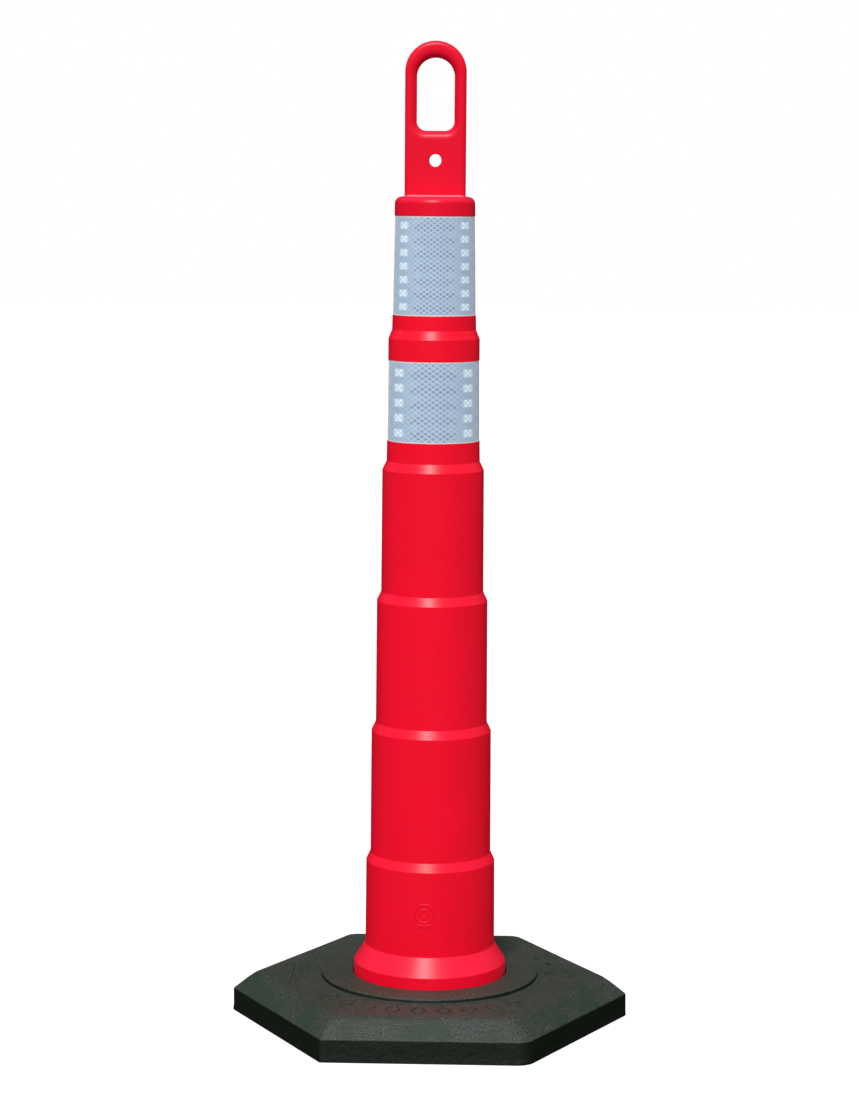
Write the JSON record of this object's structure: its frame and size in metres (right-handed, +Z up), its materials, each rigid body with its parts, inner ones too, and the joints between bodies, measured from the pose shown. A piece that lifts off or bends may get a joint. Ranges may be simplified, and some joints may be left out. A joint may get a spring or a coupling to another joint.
{
  "type": "delineator post",
  "caption": "Stepped tubular traffic post with a carrying loop, reflective bands and a drop-over hexagonal ballast base.",
  "frame": {"origin": "on the ground at the centre of the base", "axes": "+Z up the post; the flat faces of the carrying loop look along +Y and -Y, and two corners of the hexagonal base lie on the X axis"},
  "size_m": [0.4378, 0.38, 1.0669],
  "materials": {
    "red_plastic": "smooth moulded polyethylene, satin",
    "reflective_sheeting": "prismatic retroreflective sheeting with a diamond lattice",
    "recycled_rubber": "moulded recycled rubber, fine grain, dull"
  },
  "bodies": {
    "post": {"post_body": "red_plastic", "upper_reflective_band": "reflective_sheeting", "lower_reflective_band": "reflective_sheeting"},
    "base": {"rubber_base": "recycled_rubber"}
  },
  "joints": [
    {"name": "base_lift", "type": "slide", "parent": "post", "child": "base", "axis": [0, 0, 1], "range_m": [0, 1.1]}
  ]
}
